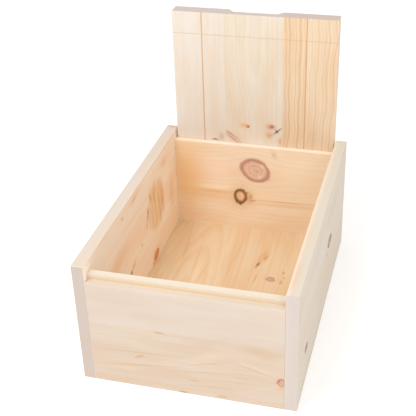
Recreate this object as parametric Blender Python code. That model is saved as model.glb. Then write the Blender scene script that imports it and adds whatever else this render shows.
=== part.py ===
"""Wooden toy box with a loose lid, built from its separate boards, staves and dowels.

Frame: metres, +Z up, +X to the right seen from the front, +Y from the front to the back.
The origin is on the ground in the middle of the whole object's plan.

The two side boards run the full depth and height. Front and back boards stand between them on
blind glued dowels, and the floor's edge is a tongue that sits in grooves in the four walls.
Front and back boards end below the sides' top, so that the lid lies between the sides when the
box is shut. Here the lid is taken off and stands upright behind the back board, in the shallow
recess that the sides' rear ends leave for it.
"""

from math import cos, pi, sin

import bmesh
import bpy
from mathutils import Vector

MM = 0.001

# Overall size of the box without its lid
BOX_WIDTH = 310 * MM
BOX_DEPTH = 438 * MM
BOX_HEIGHT = 194 * MM

# Boards
SIDE_THICKNESS = 18 * MM
FRONT_THICKNESS = 20 * MM
BACK_THICKNESS = 10 * MM
BACK_INSET = 11 * MM             # from the sides' rear ends to the back board's rear face
SEAT_DROP = 16 * MM              # from the sides' top down to what the lid lies on
SHOULDER_DROP = 24.5 * MM        # from the sides' top down to the front board's outer step
SHOULDER_DEPTH = 10 * MM         # how far the outer step reaches in from the front face
FRONT_GLUE_LINE = 103 * MM       # height of the joint between the front board's two staves

# Floor
FLOOR_RAISE = 4 * MM
FLOOR_THICKNESS = 12 * MM
TONGUE_THICKNESS = 6 * MM
TONGUE_DEPTH = 5 * MM

# Lid
LID_THICKNESS = 24 * MM
LID_SIDE_PLAY = 2.7 * MM         # to each side board
LID_BEARING = 3 * MM             # what it lies on, at the front and at the back
LID_MIDDLE_STAVE = 97 * MM
LID_GROOVE_INSET = 49 * MM       # from the lid's long edges to its long grooves
LID_CROSS_GROOVE = 36.5 * MM     # from the lid's upper end
LONG_GROOVE_WIDTH = 2.4 * MM
LONG_GROOVE_DEPTH = 1.5 * MM
CROSS_GROOVE_WIDTH = 1.6 * MM
CROSS_GROOVE_DEPTH = 0.8 * MM
PULL_LENGTH = 90 * MM            # finger pull, along the lid's upper end
PULL_RADIUS = 11 * MM
PULL_RUNOUT = 9 * MM             # the slope at each end of the pull

# Dowels
FRONT_DOWEL_DIAMETER = 8 * MM
BACK_DOWEL_DIAMETER = 5 * MM
DOWEL_IN_SIDE = 12 * MM
DOWEL_IN_BOARD = 18 * MM
DOWEL_MARGIN = 22 * MM           # from a dowel's middle to the groove, glue line or board edge

# Fits and finish
GAP = 0.3 * MM                   # between two pieces that touch
ARRIS = 1.0 * MM                 # rounding of the sanded edges
ARRIS_SEGMENTS = 2
ROUND_SEGMENTS = 24
CUT_OVERRUN = 1.0 * MM           # how far a cutter runs past the face it opens

# Places that follow from the sizes above
INNER_HALF = BOX_WIDTH / 2 - SIDE_THICKNESS
LID_PROUD = LID_THICKNESS + GAP - BACK_INSET
FRONT_Y = -(BOX_DEPTH + max(LID_PROUD, 0.0)) / 2
FRONT_INNER_Y = FRONT_Y + FRONT_THICKNESS
BACK_OUTER_Y = FRONT_Y + BOX_DEPTH - BACK_INSET
BACK_INNER_Y = BACK_OUTER_Y - BACK_THICKNESS
SEAT_Z = BOX_HEIGHT - SEAT_DROP
SHOULDER_Z = BOX_HEIGHT - SHOULDER_DROP
TONGUE_LOW = FLOOR_RAISE + (FLOOR_THICKNESS - TONGUE_THICKNESS) / 2
TONGUE_HIGH = TONGUE_LOW + TONGUE_THICKNESS
LID_HALF = INNER_HALF - LID_SIDE_PLAY
LID_LENGTH = BACK_INNER_Y - FRONT_INNER_Y + 2 * LID_BEARING
LID_FACE_Y = BACK_OUTER_Y + GAP
LID_REAR_Y = LID_FACE_Y + LID_THICKNESS

# Directions, for naming the faces of a piece that meet another one under glue
LEFT, RIGHT = Vector((-1, 0, 0)), Vector((1, 0, 0))
DOWN, UP = Vector((0, 0, -1)), Vector((0, 0, 1))

PALE_PINE = (0.86, 0.72, 0.56)
PINK_PINE = (0.85, 0.70, 0.58)
WARM_PINE = (0.84, 0.62, 0.40)
STRIPED_PINE = (0.85, 0.60, 0.35)
BEECH = (0.74, 0.52, 0.34)


def clear_scene():
    for thing in list(bpy.data.objects):
        bpy.data.objects.remove(thing, do_unlink=True)


def wood(name, colour, roughness=0.62):
    material = bpy.data.materials.new(name)
    material.use_nodes = True
    shader = material.node_tree.nodes["Principled BSDF"]
    shader.inputs["Base Color"].default_value = (*colour, 1.0)
    shader.inputs["Roughness"].default_value = roughness
    shader.inputs["Metallic"].default_value = 0.0
    material.diffuse_color = (*colour, 1.0)
    return material


def add_object(name, bm, centre):
    """Turns a bmesh in world coordinates into an object whose origin is at centre."""
    bmesh.ops.translate(bm, verts=bm.verts, vec=-Vector(centre))
    bmesh.ops.recalc_face_normals(bm, faces=bm.faces)
    mesh = bpy.data.meshes.new(name)
    bm.to_mesh(mesh)
    bm.free()
    piece = bpy.data.objects.new(name, mesh)
    piece.location = centre
    bpy.context.scene.collection.objects.link(piece)
    return piece


def prism_x(outline, start, end):
    """A solid along X from an outline of (y, z) points."""
    bm = bmesh.new()
    face = bm.faces.new([bm.verts.new((start, y, z)) for y, z in outline])
    grown = bmesh.ops.extrude_face_region(bm, geom=[face])["geom"]
    moved = [item for item in grown if isinstance(item, bmesh.types.BMVert)]
    bmesh.ops.translate(bm, verts=moved, vec=(end - start, 0, 0))
    bmesh.ops.recalc_face_normals(bm, faces=bm.faces)
    return bm


def block(low, high):
    outline = [(low[1], low[2]), (high[1], low[2]), (high[1], high[2]), (low[1], high[2])]
    return prism_x(outline, low[0], high[0])


def soften(bm, glued=()):
    """Rounds the outside edges, but not those of the faces that look the glued ways."""
    bm.normal_update()

    def is_free(face):
        return all(face.normal.dot(way) < 0.99 for way in glued)

    edges = [edge for edge in bm.edges
             if edge.is_convex and all(is_free(face) for face in edge.link_faces)]
    bmesh.ops.bevel(bm, geom=edges, offset=ARRIS, segments=ARRIS_SEGMENTS, profile=0.5,
                    affect="EDGES", clamp_overlap=True)


def add_board(name, bm, material, parent=None):
    spots = [vert.co for vert in bm.verts]
    centre = [(min(spot[axis] for spot in spots) + max(spot[axis] for spot in spots)) / 2
              for axis in range(3)]
    board = add_object(name, bm, centre)
    board.data.materials.append(material)
    if parent:
        board.parent = parent
        board.location = Vector(centre) - parent.location
    return board


def add_cutter(name, bm):
    cutter = add_object(name, bm, (0, 0, 0))
    cutter.hide_render = True
    cutter.display_type = "WIRE"
    return cutter


def cut(board, cutter):
    modifier = board.modifiers.new(cutter.name, "BOOLEAN")
    modifier.operation = "DIFFERENCE"
    modifier.solver = "EXACT"
    modifier.object = cutter


def rod_x(radius, start, end, y, z):
    """A round rod along X."""
    turn = 2 * pi / ROUND_SEGMENTS
    outline = [(y + radius * cos(turn * step), z + radius * sin(turn * step))
               for step in range(ROUND_SEGMENTS)]
    return prism_x(outline, start, end)


def make_sides(material):
    left = block((-BOX_WIDTH / 2, FRONT_Y, 0), (-INNER_HALF, FRONT_Y + BOX_DEPTH, BOX_HEIGHT))
    right = block((INNER_HALF, FRONT_Y, 0), (BOX_WIDTH / 2, FRONT_Y + BOX_DEPTH, BOX_HEIGHT))
    soften(left)
    soften(right)
    return add_board("side_left", left, material), add_board("side_right", right, material)


def make_front(lower_material, upper_material):
    reach = INNER_HALF - GAP
    lower = block((-reach, FRONT_Y, 0), (reach, FRONT_INNER_Y, FRONT_GLUE_LINE - GAP / 2))
    soften(lower, glued=(UP, LEFT, RIGHT))
    step_y = FRONT_Y + SHOULDER_DEPTH
    foot_z = FRONT_GLUE_LINE + GAP / 2
    outline = [(FRONT_Y, foot_z), (FRONT_INNER_Y, foot_z), (FRONT_INNER_Y, SEAT_Z),
               (step_y, SEAT_Z), (step_y, SHOULDER_Z), (FRONT_Y, SHOULDER_Z)]
    upper = prism_x(outline, -reach, reach)
    soften(upper, glued=(DOWN, LEFT, RIGHT))
    return (add_board("front_board_lower", lower, lower_material),
            add_board("front_board_upper", upper, upper_material))


def make_back(material):
    reach = INNER_HALF - GAP
    board = block((-reach, BACK_INNER_Y, 0), (reach, BACK_OUTER_Y, SEAT_Z))
    soften(board, glued=(LEFT, RIGHT))
    return add_board("back_board", board, material)


def tongue_slab(play):
    """The floor's tongue all round, smaller than its grooves by play on every side."""
    reach = INNER_HALF + TONGUE_DEPTH - play
    return block((-reach, FRONT_INNER_Y - TONGUE_DEPTH + play, TONGUE_LOW + play),
                 (reach, BACK_INNER_Y + TONGUE_DEPTH - play, TONGUE_HIGH - play))


def make_floor(material, walls):
    field = block((-INNER_HALF + GAP, FRONT_INNER_Y + GAP, FLOOR_RAISE),
                  (INNER_HALF - GAP, BACK_INNER_Y - GAP, FLOOR_RAISE + FLOOR_THICKNESS))
    panel = add_board("bottom_panel", field, material)
    tongue = add_cutter("tongue", tongue_slab(GAP))
    union = panel.modifiers.new("tongue", "BOOLEAN")
    union.operation = "UNION"
    union.solver = "EXACT"
    union.object = tongue
    groove = add_cutter("floor_groove", tongue_slab(0))
    for wall in walls:
        cut(wall, groove)
    return panel


def make_dowel(name, side, boards, diameter, y, z, material):
    """One blind dowel in the joint at x = side * INNER_HALF, with its hole in both boards."""
    outer = INNER_HALF + DOWEL_IN_SIDE
    inner = INNER_HALF - DOWEL_IN_BOARD
    rod = rod_x(diameter / 2, side * inner, side * outer, y, z)
    dowel = add_board(name, rod, material)
    dowel.data.shade_smooth()
    dowel.data.set_sharp_from_angle(angle=pi / 4)
    hole = add_cutter(name + "_hole", rod_x(diameter / 2 + GAP, side * (inner - GAP),
                                            side * (outer + GAP), y, z))
    for board in boards:
        cut(board, hole)


def make_dowels(sides, front, back, material):
    front_lower, front_upper = front
    lowest = TONGUE_HIGH + DOWEL_MARGIN
    front_y = FRONT_Y + FRONT_THICKNESS / 2
    back_y = BACK_OUTER_Y - BACK_THICKNESS / 2
    front_rows = [(lowest, front_lower), (FRONT_GLUE_LINE - DOWEL_MARGIN, front_lower),
                  ((FRONT_GLUE_LINE + SHOULDER_Z) / 2, front_upper)]
    highest = SEAT_Z - DOWEL_MARGIN
    back_rows = [lowest, (lowest + highest) / 2, highest]
    for side, word, side_board in ((-1, "left", sides[0]), (1, "right", sides[1])):
        for number, (height, stave) in enumerate(front_rows, start=1):
            make_dowel(f"dowel_front_{word}_{number}", side, (side_board, stave),
                       FRONT_DOWEL_DIAMETER, front_y, height, material)
        for number, height in enumerate(back_rows, start=1):
            make_dowel(f"dowel_back_{word}_{number}", side, (side_board, back),
                       BACK_DOWEL_DIAMETER, back_y, height, material)


def groove_cutter(name, start, end, width, depth):
    """A bar with a diamond section along the lid's face, which leaves a V groove."""
    inward = Vector((0, 1, 0))
    aside = (end - start).normalized().cross(inward)
    bm = bmesh.new()
    rings = [[bm.verts.new(place + corner) for corner in
              (aside * width / 2, inward * depth, -aside * width / 2, -inward * depth)]
             for place in (start, end)]
    for step in range(4):
        after = (step + 1) % 4
        bm.faces.new((rings[0][step], rings[0][after], rings[1][after], rings[1][step]))
    for ring in rings:
        bm.faces.new(ring)
    return add_cutter(name, bm)


def long_groove_cutter(name, x):
    return groove_cutter(name, Vector((x, LID_FACE_Y, -CUT_OVERRUN)),
                         Vector((x, LID_FACE_Y, LID_LENGTH + CUT_OVERRUN)),
                         LONG_GROOVE_WIDTH, LONG_GROOVE_DEPTH)


def cross_groove_cutter(name, z):
    return groove_cutter(name, Vector((-LID_HALF - CUT_OVERRUN, LID_FACE_Y, z)),
                         Vector((LID_HALF + CUT_OVERRUN, LID_FACE_Y, z)),
                         CROSS_GROOVE_WIDTH, CROSS_GROOVE_DEPTH)


def pull_cutter():
    """A spindle along the rear upper arris of the lid: a cove that runs out at both ends."""
    flat = PULL_LENGTH / 2 - PULL_RUNOUT
    turn = 2 * pi / ROUND_SEGMENTS
    bm = bmesh.new()
    rings = []
    for x in (-flat, flat):
        rings.append([bm.verts.new((x, LID_REAR_Y + PULL_RADIUS * cos(turn * step),
                                    LID_LENGTH + PULL_RADIUS * sin(turn * step)))
                      for step in range(ROUND_SEGMENTS)])
    tips = [bm.verts.new((x, LID_REAR_Y, LID_LENGTH)) for x in (-PULL_LENGTH / 2, PULL_LENGTH / 2)]
    for step in range(ROUND_SEGMENTS):
        after = (step + 1) % ROUND_SEGMENTS
        bm.faces.new((rings[0][step], rings[0][after], rings[1][after], rings[1][step]))
        for ring, tip in zip(rings, tips):
            bm.faces.new((ring[step], ring[after], tip))
    return add_cutter("finger_pull", bm)


def make_lid(materials):
    anchor = bpy.data.objects.new("lid_lift_axis", None)
    anchor.location = (0, (LID_FACE_Y + LID_REAR_Y) / 2, 0)
    bpy.context.scene.collection.objects.link(anchor)
    joint = LID_MIDDLE_STAVE / 2
    staves = {}
    spans = {"left": (-LID_HALF, -joint - GAP / 2, (RIGHT,)),
             "middle": (-joint + GAP / 2, joint - GAP / 2, (LEFT, RIGHT)),
             "right": (joint + GAP / 2, LID_HALF, (LEFT,))}
    for word, (start, end, glued) in spans.items():
        bm = block((start, LID_FACE_Y, 0), (end, LID_REAR_Y, LID_LENGTH))
        soften(bm, glued=glued)
        staves[word] = add_board(f"lid_stave_{word}", bm, materials[word], anchor)
    cut(staves["left"], long_groove_cutter("groove_left", -LID_HALF + LID_GROOVE_INSET))
    cut(staves["right"], long_groove_cutter("groove_right", LID_HALF - LID_GROOVE_INSET))
    across = cross_groove_cutter("groove_across", LID_LENGTH - LID_CROSS_GROOVE)
    for stave in staves.values():
        cut(stave, across)
    cut(staves["middle"], pull_cutter())


def main():
    clear_scene()
    sides = make_sides(wood("side_pine", PALE_PINE))
    front = make_front(wood("front_pine_lower", PALE_PINE), wood("front_pine_upper", PINK_PINE))
    back = make_back(wood("back_pine", WARM_PINE))
    make_floor(wood("floor_pine", WARM_PINE), (*sides, front[0], back))
    make_dowels(sides, front, back, wood("dowel_beech", BEECH))
    make_lid({"left": wood("lid_pine_left", PALE_PINE), "middle": wood("lid_pine_middle", PALE_PINE),
              "right": wood("lid_pine_right", STRIPED_PINE)})


main()
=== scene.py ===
"""Looks of the wooden toy box: sanded, untreated pine boards with grain, knots and glue lines.

Every board is rebuilt finely over its CAD node, and every surface is solid wood: the year rings
run right through a board, so faces, edges and end grain agree with each other.
"""

from math import cos, pi, radians, sin

import bmesh
import bpy
from mathutils import Matrix, Vector


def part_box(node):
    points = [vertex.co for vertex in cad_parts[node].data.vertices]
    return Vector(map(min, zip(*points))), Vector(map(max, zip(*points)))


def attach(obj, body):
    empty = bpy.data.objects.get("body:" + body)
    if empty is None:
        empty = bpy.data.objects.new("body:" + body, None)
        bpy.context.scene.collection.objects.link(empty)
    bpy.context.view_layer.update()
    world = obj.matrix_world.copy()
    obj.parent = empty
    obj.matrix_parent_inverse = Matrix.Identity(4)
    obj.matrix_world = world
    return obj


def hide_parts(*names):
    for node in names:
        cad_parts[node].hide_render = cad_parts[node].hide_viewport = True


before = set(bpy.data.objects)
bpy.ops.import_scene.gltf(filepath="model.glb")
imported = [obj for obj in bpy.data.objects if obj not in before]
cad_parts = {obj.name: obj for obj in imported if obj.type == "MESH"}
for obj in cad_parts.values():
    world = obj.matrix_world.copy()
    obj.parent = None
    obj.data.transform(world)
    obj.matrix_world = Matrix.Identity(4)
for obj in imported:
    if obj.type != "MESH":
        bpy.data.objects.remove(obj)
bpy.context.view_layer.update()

MM = 0.001

# Shapes that a node's box doesn't give
ARRIS = 0.7 * MM
ARRIS_SEGMENTS = 4
GLUE_GAP = 0.04 * MM
SHOULDER_DEPTH = 10 * MM
LIP_RISE = 8.5 * MM
GROOVE_INSET = 49 * MM
LONG_GROOVE = (2.4 * MM, 1.5 * MM)      # width and depth
CROSS_GROOVE = (1.6 * MM, 0.8 * MM)
CROSS_GROOVE_DROP = 36.5 * MM
PULL_LENGTH = 90 * MM
PULL_RADIUS = 11 * MM
PULL_RUNOUT = 9 * MM
PULL_SEGMENTS = 48
CUTTER_OVERRUN = 2 * MM
SHARP_ANGLE = 38                        # degrees; steeper edges stay sharp in the shading

LEFT, RIGHT = Vector((-1, 0, 0)), Vector((1, 0, 0))
DOWN, UP = Vector((0, 0, -1)), Vector((0, 0, 1))


# ---------------------------------------------------------------- node graphs

class Graph:
    """A material's node tree, with short calls for the nodes that the wood is made of."""

    def __init__(self, name):
        self.material = bpy.data.materials.new(name)
        self.material.use_nodes = True
        self.tree = self.material.node_tree
        self.shader = self.tree.nodes["Principled BSDF"]

    def node(self, kind, **settings):
        made = self.tree.nodes.new(kind)
        for key, value in settings.items():
            setattr(made, key, value)
        return made

    def feed(self, socket, value):
        if isinstance(value, bpy.types.NodeSocket):
            self.tree.links.new(value, socket)
        else:
            socket.default_value = value

    def math(self, operation, *values):
        made = self.node("ShaderNodeMath", operation=operation)
        for socket, value in zip(made.inputs, values):
            self.feed(socket, value)
        return made.outputs[0]

    def add(self, a, b):
        return self.math("ADD", a, b)

    def sub(self, a, b):
        return self.math("SUBTRACT", a, b)

    def mul(self, a, b):
        return self.math("MULTIPLY", a, b)

    def span(self, value, low, high, start=0.0, end=1.0, smooth=True):
        """start below low, end above high, and a soft step between them."""
        kind = "SMOOTHSTEP" if smooth else "LINEAR"
        made = self.node("ShaderNodeMapRange", interpolation_type=kind)
        for socket, given in zip(made.inputs, (value, low, high, start, end)):
            self.feed(socket, given)
        return made.outputs[0]

    def bell(self, value, width=1.0):
        """1 where value is 0, falling to 0 on both sides."""
        share = self.math("DIVIDE", value, width)
        return self.math("EXPONENT", self.mul(self.mul(share, share), -1.0))

    def point(self, x, y, z):
        made = self.node("ShaderNodeCombineXYZ")
        for socket, value in zip(made.inputs, (x, y, z)):
            self.feed(socket, value)
        return made.outputs[0]

    def noise(self, vector, scale=1.0, detail=2.0, rough=0.5):
        """Smooth noise, near 0.5 on average."""
        made = self.node("ShaderNodeTexNoise")
        self.feed(made.inputs["Vector"], vector)
        made.inputs["Scale"].default_value = scale
        made.inputs["Detail"].default_value = detail
        made.inputs["Roughness"].default_value = rough
        return made.outputs["Fac"]

    def chance(self, value):
        """A steady random number for each value of a whole number."""
        made = self.node("ShaderNodeTexWhiteNoise", noise_dimensions="1D")
        self.feed(made.inputs["W"], value)
        return made.outputs["Value"]

    def mix(self, share, a, b):
        """a where share is 0, b where it is 1."""
        made = self.node("ShaderNodeMix", data_type="RGBA", clamp_factor=True)
        self.feed(made.inputs["Factor"], share)
        self.feed(made.inputs["A"], a)
        self.feed(made.inputs["B"], b)
        return made.outputs["Result"]


def tone(red, green, blue):
    """A display colour from 0 to 255 as the linear colour that a shader takes."""
    parts = []
    for value in (red, green, blue):
        share = value / 255
        parts.append(share / 12.92 if share <= 0.04045 else ((share + 0.055) / 1.055) ** 2.4)
    return (*parts, 1.0)


# ---------------------------------------------------------------- wood

AXES = {"X": 0, "Y": 1, "Z": 2}

# Noise drawn out along the grain: cycles per mm along it, and across it
SWAY = (0.0045, 0.010)
RIPPLE = (0.02, 0.07)
STRIPE_SWAY = (0.012, 0.008)
CLOUD = (0.006, 0.03)
FIBRE = (0.035, 1.7)
FLECK = (0.09, 2.6)
KNOT_WAVE = (0.18, 0.18)
KNOT_MOTTLE = (0.5, 0.5)
PORE = (1.2, 1.2)

# How far that noise moves the year rings, in mm, and how uneven their widths are, in rings
SWAY_ACROSS = 26.0
SWAY_THROUGH = 14.0
RIPPLE_ACROSS = 3.0
RING_UNEVENNESS = 2.4

# How deep from its face a mark reaches, in mm, so that it stays off the board's other faces
FACE_DEPTH = 9.0
FRONT_DEPTH = 8.0
GROOVE_SHADE_DEPTH = 3.0
WHOLE_FACE_PAINTED_LIGHT = (700, 400)     # half sizes of a stain that tints a board's whole face: painted light that makes an inside face lighter than the outside one

WOOD_SPECULAR = 0.35
BUMP_STRENGTH = 0.25
BUMP_HEIGHT = 0.25 * MM

FLECK_TONE = tone(205, 160, 118)
END_RING_TONE = tone(200, 178, 166)
END_PORE_TONE = tone(198, 178, 168)
SPIKE_TONES = {"amber": tone(236, 182, 112), "pale": tone(248, 222, 182),
               "pink": tone(226, 172, 142), "crack": tone(176, 118, 70)}

# edge and its tone paint light and shade on a board's top and bottom faces. Set board by board,
# the tone makes those faces lighter than the board's other faces on some boards and darker on
# others. An edge of 0 leaves them alone.
PALE = {"early": tone(232, 220, 205), "late": tone(218, 184, 146), "warm": tone(226, 204, 176),
        "end": tone(200, 186, 177), "contrast": 0.3, "edge": 0.0,
        "edge_light_and_shade_tone": tone(211, 197, 183)}

KNOT_TONES = {
    "red": {"core": tone(234, 202, 180), "ring": tone(212, 164, 142), "rim": tone(184, 130, 110),
            "halo": tone(236, 200, 168)},
    "small": {"core": tone(214, 172, 152), "ring": tone(196, 142, 122), "rim": tone(158, 104, 82),
              "halo": tone(228, 182, 146)},
    "dead": {"core": tone(246, 206, 166), "ring": tone(200, 136, 88), "rim": tone(140, 104, 72),
             "halo": tone(220, 172, 112)},
    "dark": {"core": tone(196, 160, 142), "ring": tone(166, 126, 108), "rim": tone(130, 98, 80),
             "halo": tone(222, 196, 176)},
    "pin": {"core": tone(198, 150, 104), "ring": tone(210, 170, 124), "rim": tone(208, 170, 130),
            "halo": tone(222, 190, 152)},
    "amber": {"core": tone(226, 150, 84), "ring": tone(230, 160, 96), "rim": tone(206, 126, 68),
              "halo": tone(230, 170, 110)},
}


class Wood:
    """Solid pine. grain, across and out name the axes along the fibres, across the face and
    through the board; pith is where the tree's centre lies, in mm across and out, and slope is
    how far the centre sinks for each mm along, which draws arches on the face."""

    def __init__(self, name, grain, across, out, pith, ring, look=PALE, seed=0.0, warp=1.0,
                 slope=0.0):
        self.graph = graph = Graph(name)
        self.look = look
        where = graph.node("ShaderNodeTexCoord")
        parts = graph.node("ShaderNodeSeparateXYZ")
        graph.feed(parts.inputs[0], where.outputs["Object"])
        self.along, self.wide, self.deep = (graph.mul(parts.outputs[AXES[way]], 1 / MM)
                                            for way in (grain, across, out))
        facing = graph.node("ShaderNodeSeparateXYZ")
        graph.feed(facing.inputs[0], where.outputs["Normal"])
        end, edge = (graph.math("ABSOLUTE", facing.outputs[AXES[way]]) for way in (grain, across))
        self.endness = graph.span(end, 0.86, 0.97)
        self.edgeness = graph.span(edge, 0.8, 0.97)
        self.seed = seed
        self.pith = pith
        self.ring = ring
        self.warp = warp
        self.slope = slope
        self.bent = self.wide
        self.marks = []

    def stretched(self, along, wide, shift=0.0):
        """A point for noise that is drawn out along the grain, in cycles per mm."""
        graph = self.graph
        return graph.point(graph.add(graph.mul(self.along, along), self.seed * 7.31 + shift),
                           graph.add(graph.mul(self.wide, wide), self.seed * 3.17 + shift),
                           graph.add(graph.mul(self.deep, wide), self.seed * 5.77 - shift))

    def distance(self, place, size, tilt=0.0, depth=None, rough=0.12):
        """How far a point is from a mark's middle, as a share of the mark's own half size."""
        graph = self.graph
        du = graph.sub(self.along, place[0])
        dv = graph.sub(self.wide, place[1])
        turn = radians(tilt)
        u = graph.add(graph.mul(du, cos(turn)), graph.mul(dv, sin(turn)))
        v = graph.sub(graph.mul(dv, cos(turn)), graph.mul(du, sin(turn)))
        u = graph.math("DIVIDE", u, size[0])
        v = graph.math("DIVIDE", v, size[1])
        square = graph.add(graph.mul(u, u), graph.mul(v, v))
        if depth:
            w = graph.math("DIVIDE", graph.sub(self.deep, depth[0]), depth[1])
            square = graph.add(square, graph.mul(w, w))
        plain = graph.math("SQRT", square)
        reach = max(size)
        wobble = graph.noise(self.stretched(1.1 / reach, 1.1 / reach, place[0] * 0.1), detail=4)
        return graph.add(plain, graph.mul(graph.sub(wobble, 0.5), rough * 4))

    def knot(self, kind, place, size, tilt=0.0, depth=None, push=0.6, rough=0.1, rim=0.5,
             rings=4.0, strength=1.0, halo=0.35, rim_start=0.66):
        """A knot, with the grain flowing round it."""
        graph = self.graph
        share = self.distance(place, size, tilt, depth, rough)
        near = graph.bell(share, 1.7)
        shove = graph.mul(graph.mul(graph.sub(self.wide, place[1]), near), push)
        self.bent = graph.sub(self.bent, shove)
        tones = KNOT_TONES[kind]

        def paint(colour):
            wave = graph.noise(self.stretched(*KNOT_WAVE, place[1]), detail=2)
            swirl = graph.math("FRACT", graph.add(graph.mul(share, rings), graph.mul(wave, 0.8)))
            line = graph.mul(graph.span(swirl, 0.2, 0.8),
                             graph.sub(1.0, graph.span(swirl, 0.85, 1.0)))
            body = graph.mix(graph.mul(line, 0.5), tones["core"], tones["ring"])
            mottle = graph.noise(self.stretched(*KNOT_MOTTLE, 4.0), detail=4, rough=0.7)
            body = graph.mix(graph.span(mottle, 0.4, 0.75, 0.0, 0.4), body, tones["ring"])
            ragged = graph.add(share, graph.mul(graph.sub(mottle, 0.5), 0.4))
            edge = graph.mul(graph.span(ragged, rim_start, rim_start + 0.2), rim)
            body = graph.mix(edge, body, tones["rim"])
            around = graph.mul(graph.bell(share, 1.45), halo)
            colour = graph.mix(around, colour, tones["halo"])
            inside = graph.mul(graph.sub(1.0, graph.span(ragged, 0.9, 1.1)), strength)
            return graph.mix(inside, colour, body)

        self.marks.append(paint)

    def stain(self, colour, place, size, tilt=0.0, depth=None, strength=0.5, rough=0.25):
        """A soft patch of another colour, such as resin, a stripe of heartwood, or painted light
        and shade.
        """
        graph = self.graph
        share = self.distance(place, size, tilt, depth, rough)

        def paint(under):
            return graph.mix(graph.mul(graph.bell(share, 0.75), strength), under, colour)

        self.marks.append(paint)

    def stains(self, rows, start=0.0, depth=None, rough=0.25):
        """Stains from rows of colour, (along, wide), half sizes, tilt in degrees and strength.
        Places are in mm, and those along the grain count from start."""
        for colour, place, size, tilt, strength in rows:
            self.stain(colour, (start + place[0], place[1]), size, tilt, depth, strength, rough)

    def spike(self, place, size, tilt, depth, strength=0.6):
        """A branch cut lengthwise: a feather of amber and pale stripes that runs across."""
        graph = self.graph
        tones = SPIKE_TONES
        share = self.distance(place, size, tilt, depth, 0.2)
        bow = graph.mul(graph.sub(self.wide, place[1]), 0.06)
        turned = graph.add(graph.add(self.along, graph.mul(self.wide, 0.12)), graph.mul(bow, bow))

        def streaks(along, wide, shift, detail, rough=0.5):
            where = graph.point(graph.mul(turned, along), graph.mul(self.wide, wide),
                                self.seed + shift)
            return graph.noise(where, detail=detail, rough=rough)

        stripe = streaks(0.2, 0.014, 0.0, 4, 0.65)
        second = streaks(0.09, 0.012, 9.0, 2)
        crack = streaks(0.36, 0.03, 5.0, 2)

        def paint(under):
            body = graph.mix(graph.span(stripe, 0.4, 0.58), tones["amber"], tones["pale"])
            body = graph.mix(graph.span(second, 0.52, 0.68, 0.0, 0.7), body, tones["pink"])
            body = graph.mix(graph.span(crack, 0.6, 0.7, 0.0, 0.75), body, tones["crack"])
            inside = graph.mul(graph.sub(1.0, graph.span(share, 0.6, 1.05)), strength)
            return graph.mix(inside, under, body)

        self.marks.append(paint)

    def swayed(self, swing):
        """The place across the board, for lines that waver along the grain by up to swing."""
        graph = self.graph
        sway = graph.sub(graph.noise(self.stretched(*STRIPE_SWAY, 12.0), detail=2), 0.5)
        return graph.add(self.wide, graph.mul(sway, swing * 2))

    def line(self, value, place, half, colour, strength, depth=None):
        """A line where value is place, such as a stripe of late wood or the painted shade in a
        groove.
        """
        graph = self.graph
        share = graph.mul(graph.bell(graph.sub(value, place), half), strength)
        if depth:
            share = graph.mul(share, graph.bell(graph.sub(self.deep, depth[0]), depth[1]))

        def paint(under):
            return graph.mix(share, under, colour)

        self.marks.append(paint)

    def finish(self):
        """Wires up rings, fibres, marks, end grain, roughness and bump."""
        graph = self.graph
        look = self.look
        sway = graph.sub(graph.noise(self.stretched(*SWAY), detail=2), 0.5)
        ripple = graph.sub(graph.noise(self.stretched(*RIPPLE, 3.0), detail=3), 0.5)
        shift = graph.add(graph.mul(sway, SWAY_ACROSS * self.warp),
                          graph.mul(ripple, RIPPLE_ACROSS * self.warp))
        side = graph.sub(graph.add(self.bent, shift), self.pith[0])
        sunk = graph.add(self.deep, graph.mul(sway, SWAY_THROUGH * self.warp))
        depth = graph.sub(graph.sub(sunk, self.pith[1]), graph.mul(self.along, self.slope))
        radius = graph.math("SQRT", graph.add(graph.mul(side, side), graph.mul(depth, depth)))
        count = graph.math("DIVIDE", radius, self.ring)
        uneven = graph.noise(graph.point(graph.mul(count, 0.3), self.seed, 0.0), detail=1)
        count = graph.add(count, graph.mul(uneven, RING_UNEVENNESS))
        year = graph.math("FLOOR", count)
        phase = graph.sub(count, year)
        late = graph.mul(graph.span(phase, 0.25, 0.88),
                         graph.sub(1.0, graph.span(phase, 0.9, 1.0)))
        vigour = graph.add(graph.mul(graph.chance(graph.add(year, self.seed)), 0.75), 0.25)
        late = graph.mul(late, vigour)

        cloud = graph.noise(self.stretched(*CLOUD, 6.0), detail=3, rough=0.6)
        colour = graph.mix(graph.span(cloud, 0.35, 0.7, 0.0, 0.75), look["early"], look["warm"])
        colour = graph.mix(graph.mul(late, look["contrast"]), colour, look["late"])
        fibre = graph.noise(self.stretched(*FIBRE, 2.0), detail=4, rough=0.65)
        colour = graph.mix(graph.span(fibre, 0.45, 0.8, 0.0, 0.22), colour, look["late"])
        fleck = graph.noise(self.stretched(*FLECK, 8.0), detail=1)
        flecks = graph.mul(graph.span(fleck, 0.66, 0.76), 0.22)
        colour = graph.mix(flecks, colour, FLECK_TONE)
        # Painted light and shade: the top and bottom faces take their own tone
        colour = graph.mix(graph.mul(self.edgeness, look["edge"]), colour, look["edge_light_and_shade_tone"])
        for paint in self.marks:
            colour = paint(colour)
        pores = graph.noise(self.stretched(*PORE, 5.0), detail=3, rough=0.7)
        end = graph.mix(graph.mul(late, 0.22), look["end"], END_RING_TONE)
        end = graph.mix(graph.span(pores, 0.45, 0.75, 0.0, 0.25), end, END_PORE_TONE)
        colour = graph.mix(graph.mul(self.endness, 0.85), colour, end)

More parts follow.
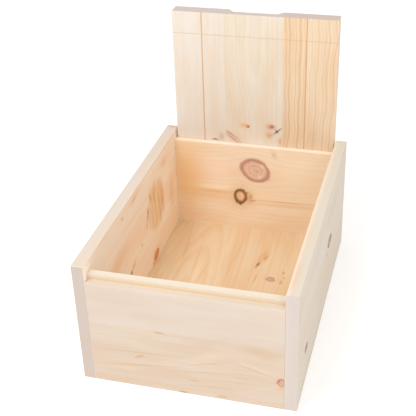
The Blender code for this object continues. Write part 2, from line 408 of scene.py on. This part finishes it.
        graph.feed(graph.shader.inputs["Base Color"], colour)
        gloss = graph.span(fibre, 0.3, 0.7, 0.54, 0.68, smooth=False)
        graph.feed(graph.shader.inputs["Roughness"], gloss)
        graph.shader.inputs["Specular IOR Level"].default_value = WOOD_SPECULAR
        height = graph.add(graph.mul(fibre, 0.6), graph.mul(late, 0.35))
        bumped = graph.node("ShaderNodeBump")
        bumped.inputs["Strength"].default_value = BUMP_STRENGTH
        bumped.inputs["Distance"].default_value = BUMP_HEIGHT
        graph.feed(bumped.inputs["Height"], height)
        graph.feed(graph.shader.inputs["Normal"], bumped.outputs[0])
        return graph.material


# ---------------------------------------------------------------- the boards' woods

def side_left_wood():
    """Seen from inside, with its loose knots in the rear half."""
    low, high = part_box("side_left")
    front, inner = low.y / MM, high.x / MM
    near = (inner, FACE_DEPTH)
    # Painted light and shade: with edge 0.75 the top and bottom faces take the darker edge tone,
    # so they read darker than the inner face
    wood = Wood("side_left_pine", "Y", "Z", "X", pith=(105, inner + 34), ring=4.4, seed=1.3,
                look={**PALE, "early": tone(255, 243, 227), "warm": tone(254, 228, 200),
                      "late": tone(238, 186, 144), "edge": 0.75,
                      "end": tone(188, 174, 165)})
    wood.spike((front + 303, 113), (46, 54), 8, near, strength=0.75)
    wood.stains((
        (tone(140, 94, 54), (261, 124), (3.4, 10), -8, 0.9),
        (tone(226, 160, 142), (334, 104), (7, 24), 4, 0.7),
        (tone(250, 226, 200), (286, 69), (26, 4), 6, 0.8),
        (tone(236, 170, 100), (298, 140), (7, 26), 0, 0.6),
        (tone(250, 224, 190), (272, 100), (7, 26), 0, 0.6),
        (tone(238, 176, 114), (384, 92), (18, 34), 0, 0.45),
        (tone(236, 172, 116), (350, 168), (30, 10), 0, 0.4),
        (tone(168, 116, 70), (258, 114), (3, 8), -14, 0.75),
        (tone(186, 132, 92), (252, 104), (2.6, 8), -14, 0.65),
        (tone(176, 124, 70), (276, 142), (3, 12), 14, 0.75),
        (tone(150, 100, 64), (291, 134), (1.8, 9), 0, 0.6),
        (tone(170, 116, 78), (316, 134), (1.8, 13), 0, 0.5),
        (tone(196, 130, 84), (324, 77), (2.2, 12), 0, 0.6),
        (tone(206, 134, 78), (273, 17.5), (7, 4), 24, 0.85),
        (tone(92, 60, 38), (170, 68), (4.4, 4.4), 0, 1.0),
        (tone(222, 146, 84), (182, 73), (12, 4), 20, 0.9),
        (tone(224, 160, 112), (206, 181), (22, 6), 8, 0.5),
        (tone(214, 148, 100), (151, 178), (6, 3), 0, 0.6),
        (tone(206, 142, 102), (224, 85), (6, 3), 0, 0.6),
        (tone(240, 190, 150), (120, 120), (50, 22), 12, 0.4),
        (tone(250, 222, 190), (200, 130), (60, 10), 8, 0.5),
        (tone(150, 90, 62), (418, 161), (3.4, 3), 0, 0.8)), front, near)
    wood.knot("amber", (front + 288, 25), (13, 8.5), 12, near, rim=0.4, rings=1.5, halo=0.5)
    wood.stain(tone(200, 128, 108), (front + 438, 199), (9, 8), 0, None, strength=1.0)
    # Painted light: a light orange patch on the shaded strip of the inner face behind the back
    # board, standing in for bounced light
    wood.stain(tone(255, 204, 158), (front + 438, 174), (8, 14), 0, near, strength=0.9)
    wood.stains((
        (tone(222, 186, 166), (270, 197), (9, 4), 0, 0.35),
        (tone(218, 182, 162), (322, 197), (6, 4), 0, 0.35)), front)
    return wood.finish()


def side_right_wood():
    """Seen from outside, with two long knots."""
    low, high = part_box("side_right")
    front, outer = low.y / MM, high.x / MM
    near = (outer, FACE_DEPTH)
    # Painted light: with edge 0.75 the top and bottom faces take a tone lighter than the outer
    # face
    wood = Wood("side_right_pine", "Y", "Z", "X", pith=(88, outer + 40), ring=3.6, seed=2.1,
                look={**PALE, "early": tone(214, 203, 189), "warm": tone(211, 193, 172),
                      "late": tone(214, 190, 160), "edge": 0.75,
                      "edge_light_and_shade_tone": tone(224, 212, 194), "end": tone(209, 197, 189)})
    # Painted light: the inner face is tinted lighter than the outer face of the same board
    wood.stain(tone(244, 224, 200), (front + 219, 97), WHOLE_FACE_PAINTED_LIGHT, 0, (low.x / MM, 6),
               strength=0.95, rough=0.05)
    wood.knot("dark", (front + 271, 105), (21, 9.5), -12, near, rim=0.9, rings=2.5, rough=0.1)
    wood.knot("dark", (front + 66, 59), (12, 6.5), -15, near, rim=0.9, rings=2.0, rough=0.1)
    wood.stains((
        (tone(110, 84, 68), (68, 58), (9, 3.2), -20, 0.9),
        (tone(128, 92, 72), (276, 106), (14, 3.6), -10, 0.8),
        (tone(160, 122, 98), (247, 94), (7, 3), -10, 0.8)), front, near)
    inner_half = (outer - 12, 5.0)
    wood.stains((
        (tone(232, 188, 148), (50, 194), (46, 6), 0, 0.6),
        (tone(230, 194, 160), (150, 194), (60, 6), 0, 0.35)), front, inner_half)
    return wood.finish()


def front_woods():
    """The lower stave, with its pins and streaks, and the plain upper one; both carry painted
    light on their inner faces, and the upper one also on its top band and its step's riser.
    """
    low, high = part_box("front_board_lower")
    face = low.y / MM
    near = (face, FRONT_DEPTH)
    upper = Wood("front_pine_upper", "X", "Z", "Y", pith=(150, face - 60), ring=4.2, seed=3.4,
                 look={**PALE, "early": tone(216, 201, 187), "warm": tone(211, 190, 172),
                       "late": tone(214, 186, 156), "contrast": 0.2})
    lower = Wood("front_pine_lower", "X", "Z", "Y", pith=(-4, face + 26), ring=5.6, seed=4.2,
                 look={**PALE, "early": tone(214, 199, 184), "warm": tone(208, 185, 162),
                       "contrast": 0.42})
    lower.stains((
        (tone(222, 208, 184), (-75, 100), (48, 5), -2, 0.4),
        (tone(206, 172, 138), (103, 93), (38, 10), -2, 0.6),
        (tone(202, 164, 124), (-74, 38), (62, 1.6), 7, 0.6),
        (tone(202, 164, 124), (28, 59), (46, 1.5), 15, 0.5),
        (tone(222, 206, 184), (24, 70), (40, 6), 20, 0.45),
        (tone(204, 168, 132), (-60, 62), (70, 2), 3, 0.4),
        (tone(214, 172, 130), (77, 44), (16, 3.4), 4, 0.49),
        (tone(222, 204, 180), (96, 66), (34, 4), -14, 0.45),
        (tone(202, 166, 128), (104, 59), (30, 1.5), -16, 0.5),
        (tone(204, 168, 132), (40, 20), (50, 2), 6, 0.4),
        (tone(204, 168, 132), (30, 44), (70, 1.5), 7, 0.45),
        (tone(204, 168, 132), (60, 34), (60, 1.5), 4, 0.4),
        (tone(222, 206, 182), (-90, 30), (40, 4), 7, 0.35)))
    # Painted light: the inner faces of both staves are tinted lighter than their outer faces
    for wood in (upper, lower):
        wood.stain(tone(240, 222, 198), (0, 97), WHOLE_FACE_PAINTED_LIGHT, 0, (high.y / MM, FACE_DEPTH),
                   strength=0.95, rough=0.05)
    # Painted light: the top band of the upper stave is lightened toward the lip
    upper.line(upper.wide, 182, 14, tone(232, 221, 203), 0.75)
    # Painted light: the step's riser is tinted lighter and yellower against the shade in the step
    upper.stain(tone(238, 210, 168), (0, 172), (260, 7), 0, (face + 9.4, 2.2), strength=0.7,
                rough=0.05)
    lower.knot("small", (133, 46.5), (5, 7), 0, near, rim=0.5, rings=1.2, halo=0.7, rough=0.25)
    lower.stain(tone(160, 104, 76), (129.5, 49), (2.6, 6), -28, near, strength=0.8)
    lower.stain(tone(214, 178, 112), (133, 37), (4, 3.4), 0, near, strength=0.8)
    for place, size, tilt, strength in (
            ((-36, 101.5), (7, 1.5), -3, 0.6),
            ((-68, 54), (7.5, 1.8), 25, 0.6),
            ((10, 26), (8, 1.6), -4, 0.4),
            ((51, 5), (9, 1.8), -2, 0.5),
            ((-5, 2), (6, 1.6), 0, 0.9)):
        lower.knot("pin", place, size, tilt, near, rim=0.1, rings=1.0, strength=strength)
    return lower.finish(), upper.finish()


def back_wood():
    """Seen from inside, with a red knot above a dead one, painted light on its right part and
    painted shadow on its left part.
    """
    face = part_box("back_board")[0].y / MM
    # Painted highlight: with edge 0.7 the top and bottom faces take a paler tone, a bright strip
    # along the top edge
    wood = Wood("back_pine", "X", "Z", "Y", pith=(128, face + 30), ring=4.6, seed=5.6,
                look={**PALE, "early": tone(250, 235, 213), "warm": tone(247, 219, 185),
                      "late": tone(240, 194, 150), "contrast": 0.3, "edge": 0.7,
                      "edge_light_and_shade_tone": tone(255, 243, 228)})
    wood.stains((
        # Painted light: this pale patch lightens the right part of the wall. Painted shadow: the
        # warm patch after it darkens the left part, where the left side casts its shade.
        (tone(253, 242, 220), (90, 124), (70, 66), 0, 0.6),
        (tone(243, 199, 144), (-116, 100), (44, 90), 0, 0.7),
        (tone(255, 240, 214), (-64, 93), (46, 5), 2, 0.8),
        (tone(234, 188, 126), (-66, 84), (46, 4), 0, 0.6),
        (tone(240, 198, 150), (-80, 76), (60, 7), 0, 0.5),
        (tone(214, 156, 102), (52, 75.5), (70, 1.3), 1.5, 0.65),
        (tone(240, 196, 146), (60, 69), (80, 5), 1.5, 0.5),
        (tone(251, 232, 198), (40, 84), (70, 5), 1, 0.7),
        (tone(216, 166, 104), (-6, 78), (9, 14), 0, 0.7),
        (tone(150, 108, 66), (0, 72.5), (6, 1.3), 8, 0.8),
        (tone(110, 76, 50), (-10, 87), (3, 2.4), -30, 0.9),
        (tone(190, 130, 84), (-3, 80), (3, 5), 0, 0.6),
        # Painted shadow: more warm shade from the left side on the upper left of the wall
        (tone(246, 206, 150), (-118, 124), (34, 60), 12, 0.45),
        (tone(253, 234, 214), (-60, 130), (40, 24), 0, 0.6),
        (tone(214, 166, 118), (37, 166), (5, 10), 25, 0.5),
        (tone(250, 228, 206), (22, 160), (12, 8), 0, 0.6)), rough=0.12)
    wood.knot("red", (5, 132.5), (27, 22), -22, rim=0.8, rings=3.2, push=0.75, rough=0.07)
    wood.stains((
        (tone(238, 182, 138), (-5, 137), (6, 8), 0, 0.5),
        (tone(252, 228, 208), (17, 142), (6, 3), -30, 0.7),
        (tone(250, 226, 206), (12, 122), (4, 5), 0, 0.6),
        (tone(198, 150, 138), (3, 141), (5, 2), -20, 0.5),
        (tone(252, 226, 204), (26, 143), (5, 2.4), -40, 0.8),
        (tone(246, 216, 194), (30, 137), (1.4, 5), 30, 0.9),
        (tone(246, 216, 194), (32, 128), (1.4, 4.4), 20, 0.9),
        (tone(210, 158, 138), (8, 131), (3, 2.6), 0, 0.6)))
    wood.knot("dead", (-21.5, 79), (12, 15.5), 0, rim=1.0, rings=2.6, push=0.8, rough=0.1,
              halo=0.6, rim_start=0.5)
    wood.stain(tone(244, 200, 158), (-19.5, 81), (6, 8), 0, None, strength=0.7, rough=0.1)
    wood.stains((
        (tone(255, 224, 190), (-20, 80), (1.2, 8), 8, 0.6),
        (tone(98, 66, 44), (-21.5, 64), (2.8, 3.6), 0, 0.95),
        (tone(110, 80, 54), (-29, 70), (3, 6), 0, 0.7)))
    return wood.finish()


def floor_wood():
    """Wide rings that draw arches, with a pitch streak and a small knot on the right."""
    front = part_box("side_left")[0].y / MM
    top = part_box("bottom_panel")[1].z / MM
    wood = Wood("floor_pine", "Y", "X", "Z", pith=(-66, top + 31), ring=8.5, seed=6.9, slope=0.09,
                look={**PALE, "early": tone(238, 217, 185), "warm": tone(234, 200, 158),
                      "late": tone(230, 178, 114), "contrast": 0.3})
    wood.stains((
        (tone(230, 168, 94), (336, 38), (26, 8), 10, 0.6),
        (tone(218, 150, 78), (268, 37), (24, 2.4), 4, 0.5),
        (tone(140, 92, 46), (309, 33), (10, 2.8), 10, 0.95),
        (tone(204, 152, 92), (330, 42), (9, 3), 12, 0.8),
        (tone(190, 132, 80), (294, 79.5), (5, 2.4), 0, 0.8),
        (tone(196, 142, 94), (281, 82.5), (4, 2.2), 0, 0.7),
        (tone(196, 136, 94), (267, 80), (6, 3.4), 0, 0.7),
        (tone(230, 186, 166), (418, 74), (10, 10), 0, 0.6),
        (tone(224, 166, 96), (290, -70), (70, 3), -4, 0.35),
        (tone(224, 166, 96), (262, -52), (46, 3), 6, 0.3),
        (tone(248, 222, 180), (270, -61), (44, 5), 0, 0.6),
        (tone(224, 166, 96), (330, -98), (70, 3.4), -6, 0.35),
        (tone(248, 220, 178), (340, -30), (80, 6), 3, 0.5),
        (tone(246, 226, 196), (330, 96), (90, 22), 0, 0.55),
        (tone(226, 172, 106), (330, -8), (90, 4), 4, 0.25)), front)
    wood.knot("small", (front + 272, 62), (5.5, 8), 10, rim=0.6, rings=1.8, push=0.8, rough=0.28,
              strength=0.8)
    return wood.finish()


# The striped stave's late wood: place across the lid and half width in mm, and strength
LID_STRIPES = ((50, 1.2, 0.5), (56, 1.6, 0.6), (61.5, 0.8, 0.35), (66, 1.1, 0.45),
               (73, 2.2, 0.55), (80, 1.0, 0.4), (91, 0.8, 0.3), (95, 0.8, 0.25),
               (101, 1.4, 0.4), (106, 0.7, 0.25), (111, 0.8, 0.3), (117, 1.6, 0.42),
               (123, 0.8, 0.3), (128, 1.4, 0.4))


def lid_woods():
    """The left and middle staves are plain with marks low down; the right one is striped."""
    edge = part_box("lid_stave_right")[1].x / MM
    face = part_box("lid_stave_middle")[0].y / MM
    near = (face, FACE_DEPTH)
    left = Wood("lid_pine_left", "Z", "X", "Y", pith=(-95, face - 120), ring=3.0, seed=7.2,
                look={**PALE, "early": tone(231, 223, 213), "warm": tone(228, 211, 191),
                      "contrast": 0.14}, warp=0.4)
    middle = Wood("lid_pine_middle", "Z", "X", "Y", pith=(8, face + 40), ring=4.4, seed=8.1,
                  look={**PALE, "early": tone(231, 222, 207), "warm": tone(227, 207, 180),
                        "contrast": 0.24}, warp=0.8)
    right = Wood("lid_pine_right", "Z", "X", "Y", pith=(-70, face - 30), ring=2.6, seed=9.7,
                 look={**PALE, "early": tone(233, 216, 191), "late": tone(218, 169, 117),
                       "warm": tone(228, 201, 169), "contrast": 0.3}, warp=0.35)
    wavering = right.swayed(10.0)
    for place, half, strength in LID_STRIPES:
        right.line(wavering, place, half, tone(222, 162, 96), strength)
    middle.knot("pin", (210.5, -10.5), (3, 3.6), 0, near, rim=0.2, rings=1.5, halo=0.3)
    middle.stains((
        (tone(236, 178, 128), (212, -17), (5, 8), 0, 0.8),
        (tone(140, 84, 52), (209.5, -9.5), (2, 2), 0, 0.8),
        (tone(214, 140, 98), (213, 29), (6.5, 9), 0, 0.9),
        (tone(136, 86, 54), (213.5, 31.5), (3, 3.6), 0, 0.8),
        (tone(206, 164, 108), (197, 26), (7, 8), -20, 0.85),
        (tone(222, 166, 142), (187, 45), (10, 4.5), 0, 0.9),
        (tone(242, 220, 198), (192, 8), (12, 26), 0, 0.45),
        (tone(244, 224, 188), (200, -22), (9, 10), 0, 0.4),
        (tone(74, 64, 46), (206, 40.5), (1.8, 10), -42, 1.0),
        (tone(84, 72, 50), (205.5, 39), (1.6, 5), 48, 1.0)), depth=near, rough=0.15)
    middle.knot("small", (188.5, -37), (5, 16), 37, near, rim=0.2, rings=3.0, strength=0.4,
                rough=0.3)
    for place in ((193.5, -39), (186, -37)):
        middle.stain(tone(204, 132, 110), place, (1.6, 12), 37, near, strength=0.75)
    left.stain(tone(96, 68, 42), (181, -67), (1.7, 6), 6, near, strength=1.0)
    left.stain(tone(196, 164, 132), (187, -56), (10, 7), 0, near, strength=0.6)
    # Painted shade: warm, darker lines along the long grooves and across the cross groove
    groove_shade_near = (face, GROOVE_SHADE_DEPTH)
    groove = edge - GROOVE_INSET / MM
    for wood, place in ((left, -groove), (right, groove)):
        wood.line(wood.wide, place, LONG_GROOVE[0] / MM / 2, tone(232, 186, 130), 0.7, groove_shade_near)
    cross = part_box("lid_stave_middle")[1].z / MM - CROSS_GROOVE_DROP / MM
    for wood in (left, middle, right):
        wood.line(wood.along, cross, CROSS_GROOVE[0] / MM / 2, tone(228, 194, 150), 0.5, groove_shade_near)
    return left.finish(), middle.finish(), right.finish()


def beech():
    """The dowels' wood, with short darker rays."""
    graph = Graph("dowel_beech")
    where = graph.node("ShaderNodeTexCoord")
    parts = graph.node("ShaderNodeSeparateXYZ")
    graph.feed(parts.inputs[0], where.outputs["Object"])
    along, wide, deep = (graph.mul(parts.outputs[axis], 1 / MM) for axis in range(3))
    rays = graph.point(graph.mul(along, 0.4), graph.mul(wide, 2.2), graph.mul(deep, 2.2))
    ray = graph.noise(rays, detail=3)
    colour = graph.mix(graph.span(ray, 0.35, 0.7), tone(222, 184, 146), tone(190, 145, 108))
    graph.feed(graph.shader.inputs["Base Color"], colour)
    graph.feed(graph.shader.inputs["Roughness"], graph.span(ray, 0.3, 0.7, 0.5, 0.7))
    return graph.material


# ---------------------------------------------------------------- mesh work

def prism_x(outline, start, end):
    """A solid along X from an outline of (y, z) points."""
    bm = bmesh.new()
    face = bm.faces.new([bm.verts.new((start, y, z)) for y, z in outline])
    grown = bmesh.ops.extrude_face_region(bm, geom=[face])["geom"]
    moved = [item for item in grown if isinstance(item, bmesh.types.BMVert)]
    bmesh.ops.translate(bm, verts=moved, vec=(end - start, 0, 0))
    bmesh.ops.recalc_face_normals(bm, faces=bm.faces)
    return bm


def block(low, high):
    """A cuboid between two corners."""
    outline = [(low[1], low[2]), (high[1], low[2]), (high[1], high[2]), (low[1], high[2])]
    return prism_x(outline, low[0], high[0])


def soften(bm, glued=()):
    """Rounds the sanded arrises, and leaves the edges of glued faces sharp."""
    bm.normal_update()

    def is_free(face):
        return all(face.normal.dot(way) < 0.99 for way in glued)

    convex = [edge for edge in bm.edges if edge.is_convex]
    sanded = [edge for edge in convex if all(is_free(face) for face in edge.link_faces)]
    bmesh.ops.bevel(bm, geom=sanded, offset=ARRIS, segments=ARRIS_SEGMENTS, profile=0.5,
                    affect="EDGES", clamp_overlap=True)
    return bm


def mesh_object(name, bm):
    """Puts the mesh into the scene and frees it."""
    bmesh.ops.recalc_face_normals(bm, faces=bm.faces)
    mesh = bpy.data.meshes.new(name)
    bm.to_mesh(mesh)
    bm.free()
    made = bpy.data.objects.new(name, mesh)
    bpy.context.scene.collection.objects.link(made)
    return made


def carve(piece, cutters):
    """Cuts the cutters out of the piece for good."""
    for cutter in cutters:
        modifier = piece.modifiers.new(cutter.name, "BOOLEAN")
        modifier.operation = "DIFFERENCE"
        modifier.solver = "EXACT"
        modifier.object = cutter
    graph = bpy.context.evaluated_depsgraph_get()
    carved = bpy.data.meshes.new_from_object(piece.evaluated_get(graph))
    piece.modifiers.clear()
    piece.data = carved
    for cutter in cutters:
        bpy.data.objects.remove(cutter)


def dress(piece, material, node, body):
    """Gives the piece its wood and its shading, and puts it on its body in its node's place."""
    piece.data.materials.clear()
    piece.data.materials.append(material)
    piece.data.shade_smooth()
    piece.data.set_sharp_from_angle(angle=radians(SHARP_ANGLE))
    weighted = piece.modifiers.new("even_normals", "WEIGHTED_NORMAL")
    weighted.keep_sharp = True
    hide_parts(node)
    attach(piece, body)


def groove_bar(name, start, end, size):
    """A bar with a diamond section, from start to end, that cuts a V groove of that size."""
    half, depth = size[0] / 2, size[1]
    run = (end - start).normalized()
    inward = Vector((0, 1, 0))
    aside = run.cross(inward)
    bm = bmesh.new()
    rings = []
    for place in (start, end):
        corners = (place + aside * half, place + inward * depth,
                   place - aside * half, place - inward * depth)
        rings.append([bm.verts.new(corner) for corner in corners])
    for step in range(4):
        after = (step + 1) % 4
        bm.faces.new((rings[0][step], rings[0][after], rings[1][after], rings[1][step]))
    bm.faces.new(rings[0])
    bm.faces.new(list(reversed(rings[1])))
    return mesh_object(name, bm)


def pull_spindle(rear_y, top_z):
    """The cutter's path for the finger pull: a cove along the rear arris with sloping ends."""
    turn = 2 * pi / PULL_SEGMENTS
    flat = PULL_LENGTH / 2 - PULL_RUNOUT
    bm = bmesh.new()
    rings = []
    for x in (-flat, flat):
        rings.append([bm.verts.new((x, rear_y + PULL_RADIUS * cos(turn * step),
                                    top_z + PULL_RADIUS * sin(turn * step)))
                      for step in range(PULL_SEGMENTS)])
    tips = [bm.verts.new((x, rear_y, top_z)) for x in (-PULL_LENGTH / 2, PULL_LENGTH / 2)]
    for step in range(PULL_SEGMENTS):
        after = (step + 1) % PULL_SEGMENTS
        bm.faces.new((rings[0][step], rings[0][after], rings[1][after], rings[1][step]))
        for ring, tip in zip(rings, tips):
            bm.faces.new((ring[step], ring[after], tip))
    return mesh_object("finger_pull_cutter", bm)


# ---------------------------------------------------------------- the pieces

def make_sides():
    for word, material in (("left", side_left_wood()), ("right", side_right_wood())):
        low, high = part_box(f"side_{word}")
        board = mesh_object(f"side_board_{word}", soften(block(low, high)))
        dress(board, material, f"side_{word}", "box")


def make_front():
    """Two staves; the upper one has the low shoulder and the inner lip."""
    lower_wood, upper_wood = front_woods()
    low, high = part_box("front_board_lower")
    top_low, top_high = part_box("front_board_upper")
    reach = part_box("side_right")[0].x - GLUE_GAP
    joint = (high.z + top_low.z) / 2
    lower = block((-reach, low.y, low.z), (reach, high.y, joint - GLUE_GAP / 2))
    board = mesh_object("front_stave_lower", soften(lower, (UP, LEFT, RIGHT)))
    dress(board, lower_wood, "front_board_lower", "box")
    step_y = top_low.y + SHOULDER_DEPTH
    shoulder_z = top_high.z - LIP_RISE
    foot_z = joint + GLUE_GAP / 2
    outline = [(top_low.y, foot_z), (top_high.y, foot_z), (top_high.y, top_high.z),
               (step_y, top_high.z), (step_y, shoulder_z), (top_low.y, shoulder_z)]
    upper = prism_x(outline, -reach, reach)
    board = mesh_object("front_stave_upper", soften(upper, (DOWN, LEFT, RIGHT)))
    dress(board, upper_wood, "front_board_upper", "box")


def make_back():
    low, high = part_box("back_board")
    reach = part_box("side_right")[0].x - GLUE_GAP
    solid = block((-reach, low.y, low.z), (reach, high.y, high.z))
    board = mesh_object("back_wall", soften(solid, (LEFT, RIGHT)))
    dress(board, back_wood(), "back_board", "box")


def make_floor():
    low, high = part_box("bottom_panel")
    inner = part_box("side_right")[0].x - GLUE_GAP
    front_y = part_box("front_board_lower")[1].y + GLUE_GAP
    back_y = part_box("back_board")[0].y - GLUE_GAP
    board = mesh_object("floor_panel", block((-inner, front_y, low.z), (inner, back_y, high.z)))
    dress(board, floor_wood(), "bottom_panel", "box")


def make_lid():
    """Three staves, with the V grooves in the face and the finger pull in the rear arris."""
    woods = dict(zip(("left", "middle", "right"), lid_woods()))
    boxes = {word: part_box(f"lid_stave_{word}") for word in woods}
    face_y = boxes["left"][0].y
    rear_y = boxes["left"][1].y
    top_z = boxes["left"][1].z
    edge = boxes["right"][1].x
    joint = (boxes["middle"][1].x + boxes["right"][0].x) / 2
    spans = {"left": (-edge, -joint - GLUE_GAP / 2, (RIGHT,)),
             "middle": (-joint + GLUE_GAP / 2, joint - GLUE_GAP / 2, (LEFT, RIGHT)),
             "right": (joint + GLUE_GAP / 2, edge, (LEFT,))}
    cross_z = top_z - CROSS_GROOVE_DROP
    for word, (start, end, glued) in spans.items():
        solid = soften(block((start, face_y, 0), (end, rear_y, top_z)), glued)
        stave = mesh_object(f"lid_board_{word}", solid)
        cutters = [groove_bar("cross_cutter", Vector((start - CUTTER_OVERRUN, face_y, cross_z)),
                              Vector((end + CUTTER_OVERRUN, face_y, cross_z)), CROSS_GROOVE)]
        if word == "middle":
            cutters.append(pull_spindle(rear_y, top_z))
        else:
            x = -edge + GROOVE_INSET if word == "left" else edge - GROOVE_INSET
            cutters.append(groove_bar("long_cutter", Vector((x, face_y, -CUTTER_OVERRUN)),
                                      Vector((x, face_y, top_z + CUTTER_OVERRUN)), LONG_GROOVE))
        carve(stave, cutters)
        dress(stave, woods[word], f"lid_stave_{word}", "lid")


def dress_dowels():
    """The dowels keep their CAD shape."""
    material = beech()
    for name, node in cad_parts.items():
        if name.startswith("dowel"):
            node.data.materials.clear()
            node.data.materials.append(material)


# ---------------------------------------------------------------- studio

CAMERA_SENSOR = 36.0
CAMERA_PLACE = Vector((0.2987, -1.1248, 0.8738))
CAMERA_AZIMUTH = -16.11
CAMERA_ELEVATION = 31.10
CAMERA_ROLL = 1.95
CAMERA_LENS = 77.83
WORLD_STRENGTH = 0.82
PAPER_GLOW = 0.19
LAMP_SIZE = 0.6
LAMPS = {"high_left": ((-0.45, -0.75, 1.85), 9.6),
         "front_left": ((-0.9, -1.3, 1.5), 2.7),
         "front_right": ((1.0, -1.2, 1.2), 4.0)}
LIT_POINT = (0.0, 0.0, 0.1)
GROUND_REACH = 6.0
GROUND_DROP = 0.2 * MM


def make_camera():
    """Looks down on the box from its front right; azimuth, elevation and roll are in degrees."""
    data = bpy.data.cameras.new("camera")
    data.lens = CAMERA_LENS
    data.sensor_width = CAMERA_SENSOR
    camera = bpy.data.objects.new("camera", data)
    turn, tip = radians(CAMERA_AZIMUTH), radians(CAMERA_ELEVATION)
    forward = Vector((sin(turn) * cos(tip), cos(turn) * cos(tip), -sin(tip)))
    level = forward.cross(Vector((0, 0, 1))).normalized()
    below = forward.cross(level)
    roll = radians(CAMERA_ROLL)
    right = level * cos(roll) + below * sin(roll)
    up = right.cross(forward)
    turned = Matrix((right, up, -forward)).transposed().to_4x4()
    camera.matrix_world = Matrix.Translation(CAMERA_PLACE) @ turned
    bpy.context.scene.collection.objects.link(camera)
    bpy.context.scene.camera = camera


def add_light(name, place, power):
    data = bpy.data.lights.new(name, "AREA")
    data.shape = "SQUARE"
    data.size = LAMP_SIZE
    data.energy = power
    light = bpy.data.objects.new(name, data)
    way = Vector(LIT_POINT) - Vector(place)
    light.matrix_world = (Matrix.Translation(place)
                          @ way.to_track_quat("-Z", "Y").to_matrix().to_4x4())
    bpy.context.scene.collection.objects.link(light)


def make_studio():
    """White paper under and round the box, and three soft lamps."""
    bm = bmesh.new()
    bmesh.ops.create_grid(bm, x_segments=8, y_segments=8, size=GROUND_REACH)
    ground = mesh_object("studio_floor", bm)
    paper = Graph("studio_paper")
    where = paper.node("ShaderNodeTexCoord")
    speck = paper.noise(where.outputs["Object"], scale=60.0, detail=3)
    shade = paper.mix(speck, tone(250, 250, 250), tone(253, 253, 253))
    paper.feed(paper.shader.inputs["Base Color"], shade)
    paper.shader.inputs["Roughness"].default_value = 0.9
    paper.shader.inputs["Emission Color"].default_value = (1, 1, 1, 1)
    paper.shader.inputs["Emission Strength"].default_value = PAPER_GLOW
    paper.shader.inputs["Specular IOR Level"].default_value = 0.1
    ground.data.materials.append(paper.material)
    ground.location.z = -GROUND_DROP
    world = bpy.data.worlds.new("studio_white")
    world.use_nodes = True
    back = world.node_tree.nodes["Background"]
    back.inputs["Color"].default_value = (1, 1, 1, 1)
    back.inputs["Strength"].default_value = WORLD_STRENGTH
    bpy.context.scene.world = world
    for name, (place, power) in LAMPS.items():
        add_light(name, place, power)
    bpy.context.scene.view_settings.view_transform = "Standard"


make_camera()
make_studio()
make_sides()
make_front()
make_back()
make_floor()
make_lid()
dress_dowels()
